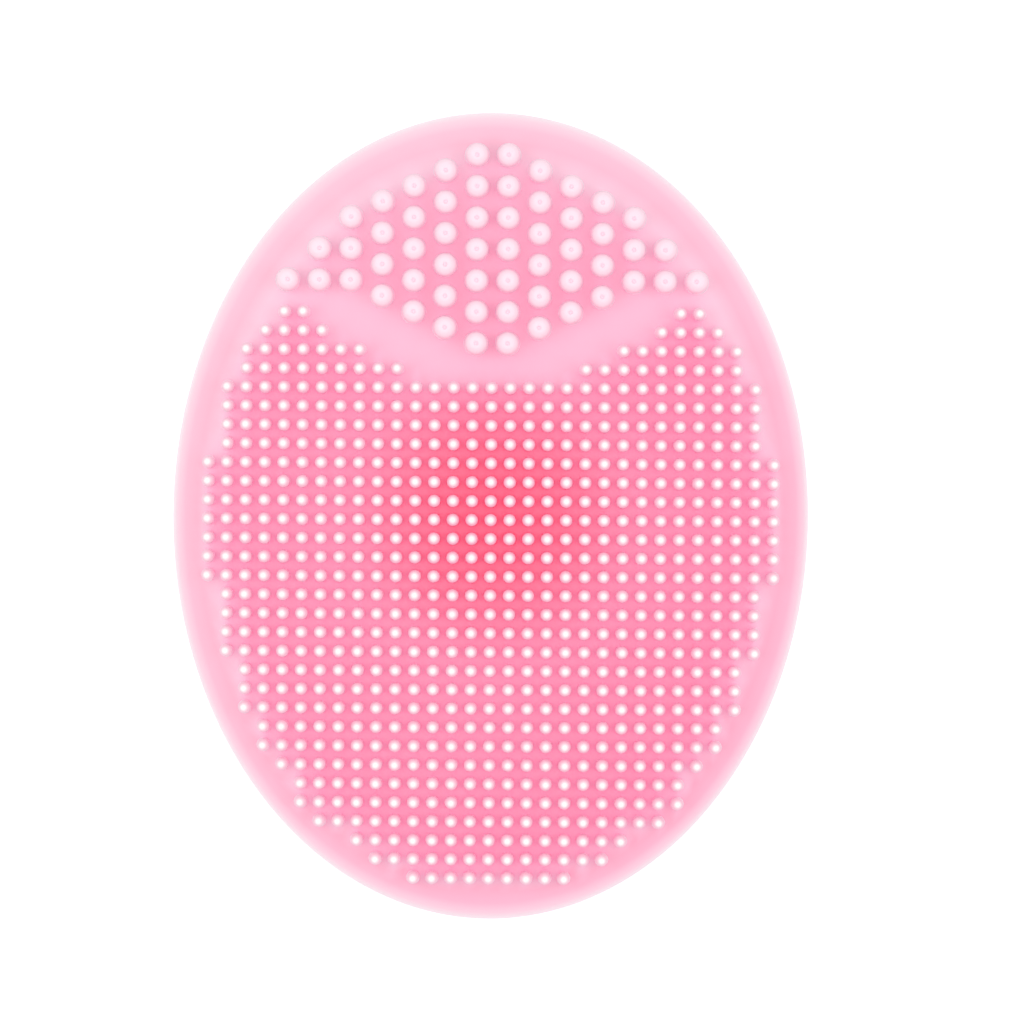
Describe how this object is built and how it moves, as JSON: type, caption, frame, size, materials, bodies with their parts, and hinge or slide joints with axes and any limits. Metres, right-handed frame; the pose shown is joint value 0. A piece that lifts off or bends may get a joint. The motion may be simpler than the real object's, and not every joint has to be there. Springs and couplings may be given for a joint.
{
  "type": "facial cleansing brush",
  "caption": "Oval hand-held facial cleansing brush in soft translucent silicone, with fine bristles, thicker massage nubs, and a suction cup on the finger grip at its back.",
  "frame": {"origin": "middle of the suction cup's lip, on the plane that the lip rests on", "axes": "+Z out of the bristles, +Y along the oval towards the massage nubs, +X to the right as seen from the bristle side"},
  "size_m": [0.063, 0.08, 0.026],
  "materials": {
    "pad": "satin translucent moulded silicone",
    "bristles": "satin translucent moulded silicone, paler at the tips",
    "nubs": "satin translucent moulded silicone, paler at the tips",
    "grip": "satin translucent moulded silicone",
    "cup": "smooth translucent moulded silicone"
  },
  "bodies": {
    "pad": {"pad_shell": "pad", "bristles_main": "bristles", "bristles_upper_left": "bristles", "bristles_upper_right": "bristles", "massage_nubs": "nubs", "grip_stem": "grip", "cup_hub": "cup"},
    "cup_lip": {"cup_skirt": "cup"}
  },
  "joints": [
    {"name": "cup_press", "type": "slide", "parent": "pad", "child": "cup_lip", "axis": [0, 0, 1], "range_m": [0, 0.0028], "stiffness_N_per_m": 2500}
  ]
}
